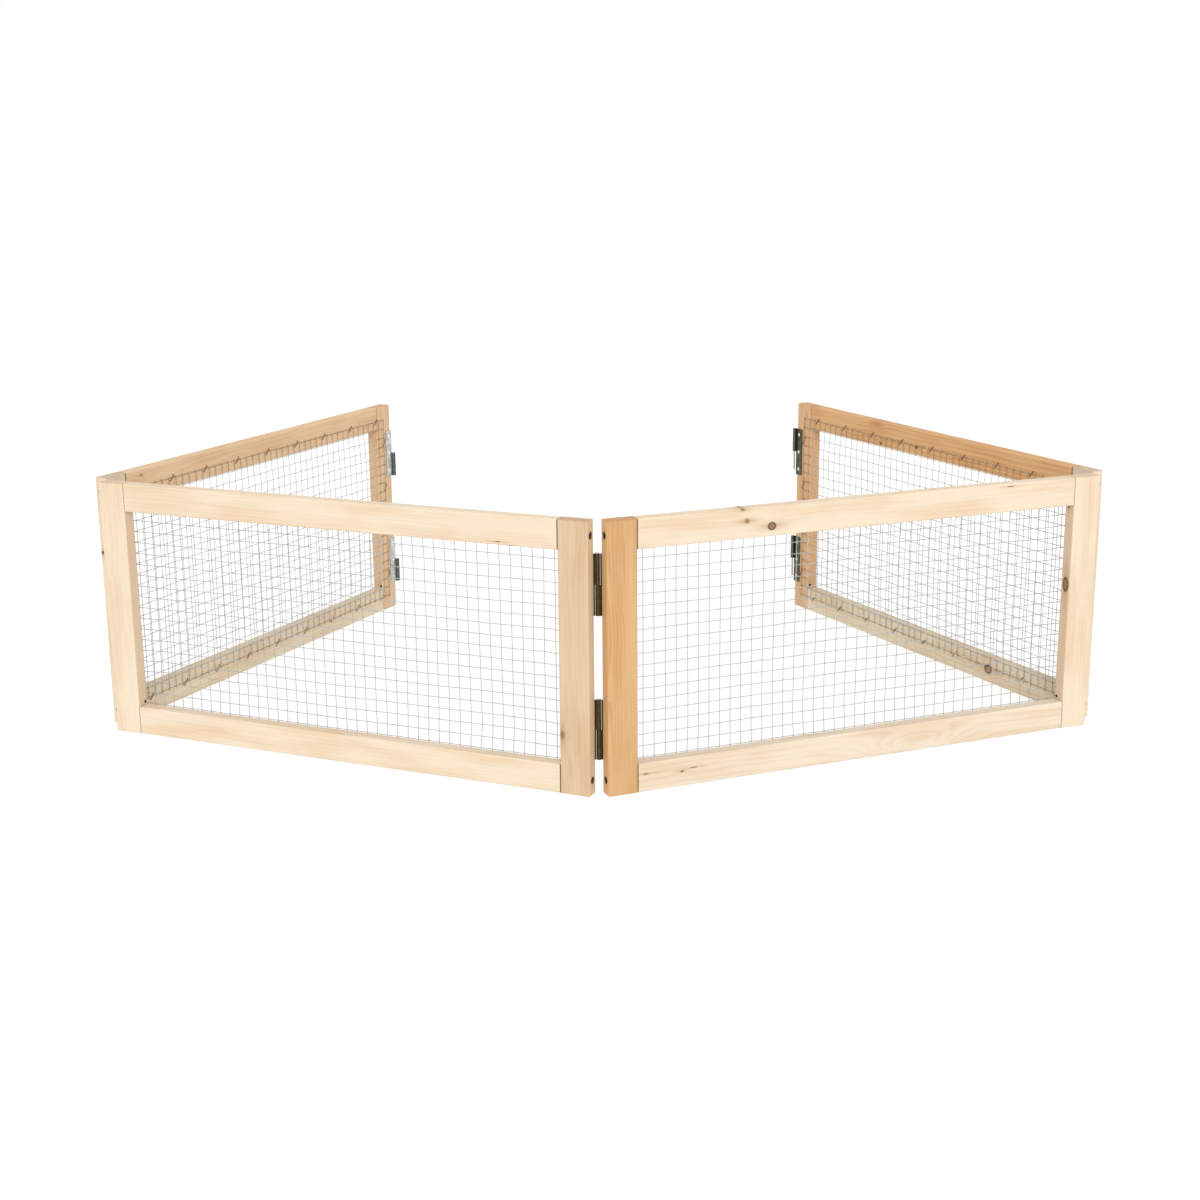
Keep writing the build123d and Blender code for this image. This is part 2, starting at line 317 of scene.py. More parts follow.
def wire_skin(lines, across):
    """Points round every wire: line + scale * radius * (cos a * outwards + sin a * across).

    The angle a goes round in equal steps. The scale is 1, and less in the ring at each cut tip.
    """
    angle = (np.arange(WIRE_SIDES) * 2 * math.pi / WIRE_SIDES)[:, None]
    section = WIRE_RADIUS * (np.cos(angle) * OUTWARDS + np.sin(angle) * np.array(across))
    scale = np.ones((lines.shape[1], 1, 1))
    scale[[0, -1]] = TIP_SCALE
    return lines[:, :, None, :] + scale * section


print("points on the long wires of a panel", wire_skin(mesh_lines("left_front", 1)[0], (0, 0, 1)).shape)

# %% [markdown]
# ### Welds
# Where two wires cross, welding and zinc leave a small bead. A sphere with many faces would weigh
# more than the wires, since a panel has nearly a thousand welds, so the bead is an egg of eighteen
# faces, the same one at every crossing.

# %% The bead on a weld
BEAD_RADIUS = 0.5
BEAD_SIDES = 6
BEAD_RING_OUT = 0.5
BEAD_RING_WIDE = 0.86


def bead():
    """A small egg: a ring of points halfway out to each pole, and the two poles, times the radius.

    Quads join the two rings, and triangles join each ring to its pole.
    """
    angle = np.arange(BEAD_SIDES) * 2 * math.pi / BEAD_SIDES
    ring = np.stack([np.cos(angle), np.zeros(BEAD_SIDES), -np.sin(angle)], -1) * BEAD_RING_WIDE
    out = OUTWARDS * BEAD_RING_OUT
    points = np.concatenate([ring - out, ring + out, [-OUTWARDS, OUTWARDS]]) * BEAD_RADIUS
    side = np.arange(BEAD_SIDES)
    after = (side + 1) % BEAD_SIDES
    quads = np.stack([side, after, after + BEAD_SIDES, side + BEAD_SIDES], -1)
    bottom = np.stack([after, side, np.full_like(side, 2 * BEAD_SIDES)], -1)
    top = np.stack([side + BEAD_SIDES, after + BEAD_SIDES, np.full_like(side, 2 * BEAD_SIDES + 1)], -1)
    return points, [quads, np.concatenate([bottom, top])]


def at_places(places, points, faces):
    """Copies of one small shape: its points moved to each place, and its faces counted on."""
    start = np.arange(len(places))[:, None, None] * len(points)
    return places[:, None, :] + points, [(group + start).reshape(-1, group.shape[1]) for group in faces]


print("faces on a bead", sum(len(group) for group in bead()[1]))

# %% The mesh of each panel


def wire_mesh(panel, number):
    """All wires and welds of one panel as one piece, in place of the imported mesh."""
    node = f"{panel}_wire_mesh"
    long_lines, cross_lines, welds = mesh_lines(panel, number)
    long_skin = wire_skin(long_lines, (0, 0, 1))
    cross_skin = wire_skin(cross_lines, (-1, 0, 0))
    points, faces = joined([
        (long_skin, tube_faces(long_skin)),
        (cross_skin, tube_faces(cross_skin)),
        at_places(welds, *bead()),
    ])
    piece = add_piece(f"{panel}_welded_mesh", points, faces, panel)
    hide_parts(node)
    return piece


mesh_pieces = {panel: wire_mesh(panel, number) for number, panel in enumerate(PANELS)}

# %% [markdown]
# ## The staples
# A staple is flat wire bent twice, with its legs driven into the wood. Three boxes would do from far
# off, but the round shoulders are what catches the light. So its centre line comes first: a leg, a
# quarter turn, the crown, another quarter turn and a leg.

# %% The line of a staple
STAPLE_CROWN = 10.5
STAPLE_LEG = 6.75
STAPLE_THICKNESS = 0.5
STAPLE_BEND = 0.55
BEND_STEPS = 5


def staple_line():
    """Points of the centre line in its own plane, and the line's heading at each of them.

    A shoulder is x = bend * (1 - cos a) - half, y = top - bend * (1 - sin a), for a from 0 to 90
    degrees, and its mirror image. The heading turns from 90 degrees, up the first leg, to -90.
    """
    half = (STAPLE_CROWN - STAPLE_THICKNESS) / 2
    top = STAPLE_THICKNESS / 2
    foot = top - STAPLE_LEG
    a = np.linspace(0, math.pi / 2, BEND_STEPS)
    left = np.stack([STAPLE_BEND * (1 - np.cos(a)) - half, top - STAPLE_BEND * (1 - np.sin(a))], -1)
    right = left[::-1] * [-1, 1]
    line = np.concatenate([[[-half, foot]], left, right, [[half, foot]]])
    heading = np.concatenate([[math.pi / 2], math.pi / 2 - a, -a, [-math.pi / 2]])
    return line, heading


print("points on a staple's line", len(staple_line()[0]))

# %% The skin of a staple
STAPLE_WIDTH = 1.2
STAPLE_CORNER = 0.28 * STAPLE_THICKNESS


def staple_section():
    """An oblong with cut corners, as points of (height, width): half sizes h and w, and a cut c."""
    h, w, c = STAPLE_THICKNESS / 2, STAPLE_WIDTH / 2, STAPLE_CORNER
    right_half = [(h, w - c), (h, c - w), (h - c, -w), (c - h, -w)]
    left_half = [(-height, -width) for height, width in right_half]
    return np.array(right_half + left_half)


def staple_skin():
    """One staple with its crown along X and its legs along -Y, as (rings, sides, 3) points.

    A point is the line's point + the section's height along the heading's left, and its width on Z.
    """
    line, heading = staple_line()
    section = staple_section()
    left = np.stack([-np.sin(heading), np.cos(heading)], -1)
    flat = line[:, None, :] + section[:, :1] * left[:, None, :]
    width = np.broadcast_to(section[:, 1:], (len(line), len(section), 1))
    return np.concatenate([flat, width], -1)


print("points on a staple", staple_skin().shape)

# %% [markdown]
# ### Where the staples sit
# Each staple is driven over the edge wire of the mesh, slanting, in the middle of a cell, and the
# next one is five cells further on. They could be placed by hand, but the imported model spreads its
# own by a simple rule, so the same rule is followed here: as many as fit, centred on the edge.

# %% The places of the staples
CELLS_PER_STAPLE = 5
RAIL_STAPLE_TURN = math.radians(-45)
STILE_STAPLE_TURN = math.radians(-67)
OVER_LONG_WIRE = 2 * WOOD_TO_WIRE + 2 * WIRE_RADIUS
OVER_CROSS_WIRE = OVER_LONG_WIRE + 2 * WIRE_RADIUS


def staple_cells(wires):
    """Middles of the cells that hold a staple, evenly spread and centred along a row of wires."""
    cells = len(wires) - 1
    staples = (cells - 1) // CELLS_PER_STAPLE + 1
    first = (cells - 1 - (staples - 1) * CELLS_PER_STAPLE) // 2
    return wires[0] + (first + CELLS_PER_STAPLE * np.arange(staples) + 0.5) * MESH_PITCH


def edge_row(x, y, z, turn):
    """Staples along one edge as rows of x, y, z and turn, with what is one number repeated."""
    return np.stack(np.broadcast_arrays(x, y, z, turn), -1)


def staple_places(panel):
    """Rows of x, y, z and turn, one for each staple: both rails first, then both stiles."""
    along = staple_cells(cross_at[panel])
    up = staple_cells(long_at[panel])
    rails = [edge_row(along, OVER_LONG_WIRE, z, RAIL_STAPLE_TURN) for z in long_at[panel][[0, -1]]]
    stiles = [edge_row(x, OVER_CROSS_WIRE, up, STILE_STAPLE_TURN) for x in cross_at[panel][[0, -1]]]
    return np.concatenate(rails + stiles)


print("staples in a panel", len(staple_places("left_front")))

# %% The staples of each panel


def staples(panel):
    """Every staple of a panel: the one staple, turned about Y and moved to each place."""
    along, out, up = np.moveaxis(staple_skin(), -1, 0)
    x, y, z, turn = staple_places(panel).T[:, :, None, None]
    skin = np.stack([
        x + np.cos(turn) * along - np.sin(turn) * up,
        y + out,
        z + np.sin(turn) * along + np.cos(turn) * up,
    ], -1)
    piece = add_piece(f"{panel}_staples", skin, tube_faces(skin), panel, smooth=False)
    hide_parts(f"{panel}_mesh_staples")
    return piece


staple_pieces = {panel: staples(panel) for panel in PANELS}

# %% [markdown]
# ## A small language for materials
# A finish is a formula over the surface. It could be drawn as a web of nodes by hand, but a hundred
# nodes are hard to read. So a signal wraps one output of a node, and its operators add Math nodes:
# `1 - mask * 0.5` reads like the sum it is.

# %% Signals


class Signal:
    """One number, colour or vector that changes over the surface."""

    def __init__(self, recipe, socket):
        self.recipe = recipe
        self.socket = socket

    def math(self, operation, *values):
        return self.recipe.node("ShaderNodeMath", {"operation": operation}, dict(enumerate(values)))

    def __add__(self, other):
        return self.math("ADD", self, other)

    def __sub__(self, other):
        return self.math("SUBTRACT", self, other)

    def __rsub__(self, other):
        return self.math("SUBTRACT", other, self)

    def __mul__(self, other):
        return self.math("MULTIPLY", self, other)

    def __truediv__(self, other):
        return self.math("DIVIDE", self, other)

    def __rtruediv__(self, other):
        return self.math("DIVIDE", other, self)

    def __neg__(self):
        return self * -1.0

    def __abs__(self):
        return self.math("ABSOLUTE", self)

    __radd__ = __add__
    __rmul__ = __mul__

    def swing(self):
        """A noise about zero: its value less its middle, which is a half."""
        return self - 0.5

    def squared(self):
        return self * self

    def root(self):
        return self.math("SQRT", self)

    def fraction(self):
        return self.math("FRACT", self)

    def bell(self):
        """1 at zero, falling away smoothly to both sides: e to the power of minus the square."""
        return self.math("EXPONENT", -self.squared())

    def rise(self, low, high):
        """0 below low and 1 above high, with a smooth step between. It falls if low is above high."""
        ends = (low, high) if low < high else (high, low)
        step = self.recipe.node(
            "ShaderNodeMapRange", {"interpolation_type": "SMOOTHSTEP"},
            {"Value": self, "From Min": ends[0], "From Max": ends[1]},
        )
        return step if low < high else 1 - step


def length(first, second):
    """How long a slanting line is from its two legs: the root of the sum of their squares."""
    return (first.squared() + second.squared()).root()


# %% [markdown]
# ### Recipes
# A recipe is one material. All its nodes come from one method, which sets a node's own options
# before its sockets, because an option can change what the sockets are. The noise, the mixing and
# the bump that every finish needs are short methods on top of that one.

# %% Recipes
# A Mix node has its own set of sockets for each kind of value. These are the ones for colours.
MIX_SHARE, MIX_LOW, MIX_HIGH, MIX_RESULT = 0, 6, 7, 2


class Recipe:
    """One material: node() adds a node, and paint() feeds the surface."""

    def __init__(self, name):
        self.material = bpy.data.materials.new(name)
        self.material.use_nodes = True
        self.tree = self.material.node_tree
        self.shader = self.tree.nodes["Principled BSDF"]

    def feed(self, sockets, values):
        """Link each signal to its socket, and set any other value on the socket itself."""
        for key, value in values.items():
            if isinstance(value, Signal):
                self.tree.links.new(value.socket, sockets[key])
            else:
                sockets[key].default_value = value

    def node(self, kind, settings=None, inputs=None, output=0):
        made = self.tree.nodes.new(kind)
        for key, value in (settings or {}).items():
            setattr(made, key, value)
        self.feed(made.inputs, inputs or {})
        return Signal(self, made.outputs[output])

    def vector(self, x, y, z):
        return self.node("ShaderNodeCombineXYZ", None, {0: x, 1: y, 2: z})

    def parts(self, vector):
        split = self.node("ShaderNodeSeparateXYZ", None, {0: vector})
        return [Signal(self, socket) for socket in split.socket.node.outputs]

    def noise(self, place, stretch, shift, detail=2.0, roughness=0.5):
        """Smooth noise from 0 to 1, with the place scaled by stretch along each axis first."""
        inputs = {0: place, 1: stretch, 2: (shift,) * 3}
        scaled = self.node("ShaderNodeVectorMath", {"operation": "MULTIPLY_ADD"}, inputs)
        inputs = {"Vector": scaled, "Scale": 1.0, "Detail": detail, "Roughness": roughness}
        return self.node("ShaderNodeTexNoise", None, inputs)

    def mix(self, low, high, share):
        """A colour that goes from low to high as the share goes from 0 to 1."""
        inputs = {MIX_SHARE: share, MIX_LOW: low, MIX_HIGH: high}
        return self.node("ShaderNodeMix", {"data_type": "RGBA"}, inputs, MIX_RESULT)

    def dim(self, colour, share):
        """A colour times a number."""
        return self.node("ShaderNodeVectorMath", {"operation": "SCALE"}, {0: colour, "Scale": share})

    def bump(self, height, distance, strength):
        """Small hollows and ridges that only bend the light."""
        inputs = {"Height": height, "Distance": distance, "Strength": strength}
        self.paint({"Normal": self.node("ShaderNodeBump", None, inputs)})

    def own_place(self, panel):
        """Object coordinates turned into the panel's own place, in millimetres."""
        back = place_of[panel].inverted()
        inputs = {
            "Vector": self.node("ShaderNodeTexCoord", None, None, "Object"),
            "Location": back.translation / MM,
            "Rotation": back.to_euler(),
            "Scale": (1 / MM,) * 3,
        }
        return self.node("ShaderNodeMapping", {"vector_type": "POINT"}, inputs)

    def paint(self, surface):
        self.feed(self.shader.inputs, surface)


def dress(piece, recipe):
    """Give a piece one material, in place of those it came with."""
    piece.data.materials.clear()
    piece.data.materials.append(recipe.material)


# %% [markdown]
# ## Pine
# The frames are planed, bare pine, and no two boards have quite the same tone, from nearly cream
# sapwood to a foxy brown. A picture of wood wrapped round a board would break at every edge. So the
# grain is solid: a board is cut from a log, and its grain is a set of rings about the log's heart,
# which lies some way off to one side. One formula then gives the right pattern on the faces, the
# edges and the sawn ends. The colours come first.

# %% Colours of the wood
CREAM = (0.648, 0.55, 0.428, 1)
SAPWOOD = (0.665, 0.555, 0.418, 1)
ROSY = (0.553, 0.417, 0.273, 1)
HONEY = (0.545, 0.338, 0.158, 1)
PEACH = (0.61, 0.437, 0.267, 1)
DUN = (0.63, 0.545, 0.39, 1)
OAT = (0.565, 0.475, 0.365, 1)
FOX = (0.58, 0.345, 0.153, 1)
UMBER = (0.585, 0.38, 0.205, 1)
# Nearly black: the tone of pitch, and also of the painted shade in joints and holes.
PITCH_AND_SHADE_DARK = (0.045, 0.02, 0.009, 1)
DEEPER_SHARES = (0.94, 0.86, 0.78)
LATE_SHARES = (0.72, 0.56, 0.42)


def shade(colour, shares):
    """A colour with its red, green and blue each times a share."""
    return (*(value * share for value, share in zip(colour, shares)), 1)


print("late wood in sapwood", [round(value, 3) for value in shade(SAPWOOD, LATE_SHARES)])

# %% [markdown]
# ### What is special about each board
# Besides its tone, a board has wider or narrower rings, grain that stands out more or less, and a
# place in its log: how far the heart lies below the board's lower edge and behind its inner face.
# Knots are the stubs of branches. Each is given by its kind, its place along and across the board,
# and its two half sizes. Side knots are on a narrow face, so their second place goes through the
# board. A swirl lies under the surface and only bends the rings, and a blush also darkens the wood.

# %% Boards and knots
Knot = namedtuple("Knot", "kind along across half_length half_height")
Board = namedtuple("Board", "colour spacing strength heart knots side_knots", defaults=((), ()))
BOARDS = {}

# %% The boards of the two front panels
BOARDS["left_front"] = {
    "corner_stile": Board(SAPWOOD, 3.3, 0.28, (20, 80)),
    "centre_stile": Board(ROSY, 3.8, 0.45, (17, 50), [Knot("olive", 66, 579, 4.4, 3.2)]),
    "bottom_rail": Board(SAPWOOD, 4.4, 0.35, (60, 30)),
    "top_rail": Board(SAPWOOD, 4.0, 0.32, (55, 35), [
        Knot("pitch", 508, 271, 3, 0.8),
        Knot("pitch", 523, 268, 2, 0.7),
    ]),
}
BOARDS["right_front"] = {
    "centre_stile": Board(HONEY, 2.6, 0.8, (30, 55)),
    "corner_stile": Board(SAPWOOD, 3.6, 0.3, (17, 60), side_knots=[
        Knot("red", 173, -9, 7.6, 4.8),
        # The pitch mark at 264 stands for a nail hole near the opening's top corner: a spot of painted shade.
        Knot("pitch", 264, -7, 1.6, 1.6),
    ]),
    "bottom_rail": Board(CREAM, 6.0, 0.5, (14, 34), [
        Knot("pitch", 43, 20, 3.6, 0.9),
        Knot("pitch", 85.5, 17, 2.2, 1.4),
        Knot("pitch", 99.5, 19.5, 4.2, 0.8),
        Knot("swirl", 375, 9, 60, 13),
    ]),
    "top_rail": Board(SAPWOOD, 5.0, 0.3, (30, 45), [
        Knot("olive", 160, 286.5, 3.2, 2.8),
        Knot("red", 189.5, 278.5, 4.3, 3.9),
        Knot("olive", 155, 299, 2.4, 1.6),
        Knot("pitch", 489, 297, 4, 0.8),
    ]),
}
print("boards so far", sum(len(boards) for boards in BOARDS.values()))

# %% The boards of the two rear panels
BOARDS["left_rear"] = {
    "free_stile": Board(PEACH, 3.4, 0.7, (30, 60)),
    "corner_stile": Board(OAT, 3.0, 0.4, (-20, 70), side_knots=[Knot("grey", 210, -9, 2.4, 6)]),
    "bottom_rail": Board(DUN, 3.2, 0.8, (50, 40)),
    "top_rail": Board(PEACH, 3.6, 0.7, (25, 70), [Knot("olive", 549, 293, 1.8, 1.4)]),
}
BOARDS["right_rear"] = {
    "corner_stile": Board(OAT, 3.2, 0.4, (30, 60)),
    "free_stile": Board(UMBER, 3.2, 0.9, (-15, 60)),
    "bottom_rail": Board(DUN, 4.4, 0.9, (50, 45), [Knot("pale", 166.5, 17.3, 6, 5.4)]),
    "top_rail": Board(FOX, 4.6, 1.4, (45, 55), [
        Knot("grey", 408.6, 271.5, 2.2, 1.6),
        Knot("blush", 420, 297, 3.5, 6),
        Knot("grey", 331, 278, 2.4, 1.8),
    ]),
}
print("boards", sum(len(boards) for boards in BOARDS.values()))

# %% [markdown]
# ### What the steps of the finish share
# Every step needs to know where a point is along, across and through its board, and how far it is
# from each knot. Wood also needs noise that is drawn out along the grain: slow for the wander of the
# rings, quicker for patches of tone, and fine for fibres and flecks. Each board starts its noise in
# another place, so that no two are alike.

# %% A board's places and noises
# A noise is its stretch along, through and across the board, its shift, its detail and roughness.
WOOD_NOISES = {
    "wander": ((0.007, 0.022, 0.022), 0, 2.0, 0.5),
    "uneven": ((0.003, 0.15, 0.15), 3, 1.0, 0.5),
    "patches": ((0.009, 0.05, 0.05), 5, 2.0, 0.5),
    "fibres": ((0.014, 0.9, 0.9), 9, 4.0, 0.65),
    "flecks": ((0.10, 1.7, 1.7), 13, 2.0, 0.6),
}


def knot_distance(along, across, knot):
    """Distance from a knot's middle, where 1 is its rim: the legs are shares of its half sizes."""
    return length((along - knot.along) / knot.half_length, (across - knot.across) / knot.half_height)


class Timber:
    """One board's material, with the places and the noises that the steps of its finish share."""

    def __init__(self, node, panel, board, shift):
        self.board = board
        self.recipe = Recipe(f"pine_{node}")
        self.upright = node.endswith("_stile")
        self.low, self.high = own_box(node, panel)
        self.x, self.deep, self.z = self.recipe.parts(self.recipe.own_place(panel))
        self.along, self.across = (self.z, self.x) if self.upright else (self.x, self.z)
        self.late_colour = shade(board.colour, LATE_SHARES)
        place = self.recipe.vector(self.along, self.deep, self.across)
        self.noise = {
            name: self.recipe.noise(place, stretch, shift + own_shift, detail, roughness)
            for name, (stretch, own_shift, detail, roughness) in WOOD_NOISES.items()
        }
        knots = [(knot, self.across) for knot in board.knots]
        knots += [(knot, self.deep) for knot in board.side_knots]
        self.knots = [(knot, second, knot_distance(self.along, second, knot)) for knot, second in knots]


# %% [markdown]
# ### Rings
# A year's ring starts with pale, quick growth and ends in a thin, darker line of late wood. The
# distance from the heart gives the ring at each point. A perfect log would look turned on a lathe,
# so a slow wander and uneven growth bend it, the log tapers, and each knot pushes the rings aside.

# %% Late wood
RING_WANDER = 11.0
RING_UNEVEN = 5.0
LOG_TAPER = 0.012
KNOT_SPREAD, KNOT_PUSH = 0.42, 2.2
SWIRL_SPREAD, SWIRL_PUSH = 1.0, 5.0
LATE_WOOD_STARTS = (0.25, 0.92)
LATE_WOOD_ENDS = (1.0, 0.93)


def late_wood(timber):
    """0 in early wood and 1 in late wood, from how far a point is through its ring.

    ring = distance from the heart + wander + uneven growth + taper + a bell round each knot
    late wood = a slow rise over most of the ring, cut off sharply at its end
    """
    board = timber.board
    edge = timber.low[0] if timber.upright else timber.low[2]
    below, behind = board.heart
    ring = length(timber.across - (edge - below), timber.deep + behind)
    ring = ring + timber.noise["wander"] * RING_WANDER + timber.noise["uneven"] * RING_UNEVEN
    ring = ring + timber.along * LOG_TAPER
    for knot, _, distance in timber.knots:
        if knot.kind != "pitch":
            swirl = knot.kind == "swirl"
            spread, push = (SWIRL_SPREAD, SWIRL_PUSH) if swirl else (KNOT_SPREAD, KNOT_PUSH)
            ring = ring + (distance * spread).bell() * (board.spacing * push)
    through = (ring / board.spacing).fraction()
    return through.rise(*LATE_WOOD_STARTS) * through.rise(*LATE_WOOD_ENDS)


# %% [markdown]
# ### The tone of the wood
# The rings alone would look printed. Real pine is a little deeper in some patches than in others,
# its fibres are fine light and dark streaks, and short resin flecks are scattered along the grain.
# The late wood is faint in some patches and clear in others.

# %% Patches, rings, fibres and flecks
DEEPER_PATCHES = (0.35, 0.75)
CLEAR_RING_PATCHES = (0.2, 0.65)
LATE_SHARE = 0.5
FIBRE_SHARE, FIBRE_SHARE_OF_STRENGTH = 0.14, 0.16
FLECK_PEAKS = (0.66, 0.76)
FLECK_SHARE = 0.3


def clear_wood(timber, late):
    """The board's own colour, mixed and dimmed by each of the patterns in turn."""
    recipe, board, patches = timber.recipe, timber.board, timber.noise["patches"]
    rings = late * patches.rise(*CLEAR_RING_PATCHES) * (board.strength * LATE_SHARE)
    fibres = timber.noise["fibres"].swing() * (FIBRE_SHARE + FIBRE_SHARE_OF_STRENGTH * board.strength)
    flecks = timber.noise["flecks"].rise(*FLECK_PEAKS) * FLECK_SHARE
    colour = recipe.mix(board.colour, shade(board.colour, DEEPER_SHARES), patches.rise(*DEEPER_PATCHES))
    colour = recipe.mix(colour, timber.late_colour, rings)
    colour = recipe.dim(colour, 1.0 - fibres)
    return recipe.mix(colour, timber.late_colour, flecks)


# %% [markdown]
# ### Painted light and shade on the narrow faces of a stile
# The face at the opening lies in shade, so it is made deeper in tone with painted shade, and the one at the
# panel's end is made a little lighter with painted light. How deep a point lies below a face says whether it is on
# it.

# %% Painted light and shade on the narrow faces
FACE_SKIN = (0.7, 0.2)
OPENING_SHADE_SHARES = (0.90, 0.75, 0.62)
OPENING_SHADE_SHARE = 0.6
END_PAINTED_LIGHT = 0.16


def stile_depths(timber):
    """How deep a point is below a stile's face at the panel's end, and below that at the opening."""
    from_low, from_high = timber.x - timber.low[0], timber.high[0] - timber.x
    return (from_low, from_high) if timber.low[0] < PANEL_LENGTH / 2 else (from_high, from_low)


def narrow_face_light_and_shade(timber, colour):
    """The colour, with painted shade near the opening's face and painted light near the end's face."""
    below_end, below_opening = stile_depths(timber)
    # painted shade on the face at the opening, and painted light on the face at the panel's end
    opening_shade_colour = shade(timber.board.colour, OPENING_SHADE_SHARES)
    colour = timber.recipe.mix(colour, opening_shade_colour, below_opening.rise(*FACE_SKIN) * OPENING_SHADE_SHARE)
    return timber.recipe.dim(colour, 1.0 + below_end.rise(*FACE_SKIN) * END_PAINTED_LIGHT)


# %% [markdown]
# ### Knots
# A knot is a branch cut through: a dark disc with its own small rings and, when it is dead wood, an
# almost black rim of pitch. Along the grain the wood on both sides of it is deeper. Olive knots have
# no rim and fade out softly, and pitch marks are only small dark streaks.

# %% Kinds of knots
# A kind is its flesh, where the flesh fades in, and the shares of its rings, itself and its rim.
KnotKind = namedtuple("KnotKind", "flesh fades_in ring_share share rim_share")
SHARP_EDGE = (1.12, 0.86)
SOFT_EDGE = (1.5, 0.4)
KNOT_KINDS = {
    "red": KnotKind((0.17, 0.062, 0.028, 1), SHARP_EDGE, 0.4, 0.92, 0.9),
    "grey": KnotKind((0.06, 0.034, 0.016, 1), SHARP_EDGE, 0.4, 0.92, 0.9),
    "pale": KnotKind((0.28, 0.18, 0.10, 1), SHARP_EDGE, 0.4, 0.92, 0.9),
    "olive": KnotKind((0.17, 0.105, 0.045, 1), SOFT_EDGE, 0.4, 0.92, 0.0),
    "pitch": KnotKind(PITCH_AND_SHADE_DARK, SHARP_EDGE, 0.1, 0.62, 0.0),
}
KNOT_RINGS = 2.6
RIM_WIDTH = 0.2
STREAK_LONGER, STREAK_WIDER, STREAK_SHARE = 4.0, 1.1, 0.85


def knot_tones(timber, colour):
    """The colour, with a streak of late wood through each knot, then its flesh, then its rim."""
    recipe = timber.recipe
    for knot, second, distance in timber.knots:
        if knot.kind == "swirl":
            continue
        streak = knot._replace(half_length=knot.half_length * STREAK_LONGER,
                               half_height=knot.half_height * STREAK_WIDER)
        from_streak = knot_distance(timber.along, second, streak)
        colour = recipe.mix(colour, timber.late_colour, from_streak.bell() * STREAK_SHARE)
        if knot.kind == "blush":
            continue
        kind = KNOT_KINDS[knot.kind]
        rings = (distance * KNOT_RINGS + timber.noise["fibres"]).fraction()
        flesh = recipe.mix(kind.flesh, timber.late_colour, rings * kind.ring_share)
        colour = recipe.mix(colour, flesh, distance.rise(*kind.fades_in) * kind.share)
        if kind.rim_share:
            rim = ((distance - 1.0) / RIM_WIDTH).bell()
            colour = recipe.mix(colour, PITCH_AND_SHADE_DARK, rim * kind.rim_share)
    return colour


print("kinds of knots", list(KNOT_KINDS))

# %% [markdown]
# ### Ends
# A stile's sawn ends are open end grain, deeper in tone, with its rings clear. A rail's ends butt against the
# stiles, and all that shows of them is a thin line of painted shade in the crack at the joint. Both are a band
# close to the ends of the board, so no second material is needed.

# %% Sawn ends
SAWN_DEPTH = 0.9
SAWN_FULL = 0.35
END_GRAIN_SHARE, END_RING_SHARE = 0.35, 0.35
JOINT_SHADE_SHARE = 0.75


def sawn_ends(timber, colour, late):
    """The colour, deeper in a stile's last millimetre, and darkened with painted shade in a rail's."""
    axis = 2 if timber.upright else 0
    low, high = timber.low[axis], timber.high[axis]
    half = (high - low) / 2
    from_middle = abs(timber.along - (low + high) / 2)
    sawn = from_middle.rise(half - SAWN_DEPTH, half - SAWN_DEPTH * SAWN_FULL)
    if timber.upright:
        end_grain = sawn * (END_GRAIN_SHARE + END_RING_SHARE * late)
        return timber.recipe.mix(colour, timber.late_colour, end_grain)
    # painted shade in the crack where a rail butts against a stile
    return timber.recipe.mix(colour, PITCH_AND_SHADE_DARK, sawn * JOINT_SHADE_SHARE)


# %% [markdown]
# ### Holes
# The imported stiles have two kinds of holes: wide mouths in the end's face, over the screws that hold
# the rails, and a nail hole in the opening's face near its lower corner. The light from all round
# would fill holes this small, so the wood in and just around them is darkened.

# %% Shadows in the holes
NAIL_HOLE_Z, NAIL_HOLE_Y = RAIL_HEIGHT + 3.5, -BOARD_THICKNESS / 4
NAIL_HOLE_RADII = (2.4, 1.6)
NAIL_HOLE_DEPTHS = (6.5, 5.5)
SCREW_MOUTH_RADII = (4.6, 4.1)
SCREW_MOUTH_DEPTHS = (6.0, 5.0)
SCREW_MOUTH_SHARE = 0.8
RAIL_MIDDLE = (PANEL_HEIGHT - RAIL_HEIGHT) / 2


def hole_shadows(timber, colour):
    """The colour, dark within each hole's radius as far in as the hole is deep.

    The mouths are at half a rail's height from the top and the foot, so they mirror each other
    about the panel's middle height.
    """
    below_end, below_opening = stile_depths(timber)
    from_nail = length(timber.z - NAIL_HOLE_Z, timber.deep - NAIL_HOLE_Y)
    nail = from_nail.rise(*NAIL_HOLE_RADII) * below_opening.rise(*NAIL_HOLE_DEPTHS)
    from_screw = length(abs(timber.z - PANEL_HEIGHT / 2) - RAIL_MIDDLE, timber.deep + BOARD_THICKNESS / 2)
    screw = from_screw.rise(*SCREW_MOUTH_RADII) * below_end.rise(*SCREW_MOUTH_DEPTHS)
    colour = timber.recipe.mix(colour, PITCH_AND_SHADE_DARK, nail)
    return timber.recipe.mix(colour, PITCH_AND_SHADE_DARK, screw * SCREW_MOUTH_SHARE)


# %% [markdown]
# ### The whole finish of a board
# The steps follow each other in the order in which they lie on the wood: the clear wood first, then
# what is in it, then what was done to it. Bare planed pine is rather dull. Its late wood is harder
# and takes a little more shine, and the plane leaves the fibres standing very slightly.

# %% Pine on every board
FIBRE_HEIGHT, LATE_HEIGHT = 0.7, 0.3
GRAIN_DEPTH, GRAIN_STRENGTH = 0.25 * MM, 0.35
PINE_ROUGHNESS = 0.66
PINE_GLOSS = 0.35
LATE_SHINE = 0.10
FIBRE_ROUGHNESS = 0.2
FIRST_SHIFT, NEXT_SHIFT = 3.0, 7.3


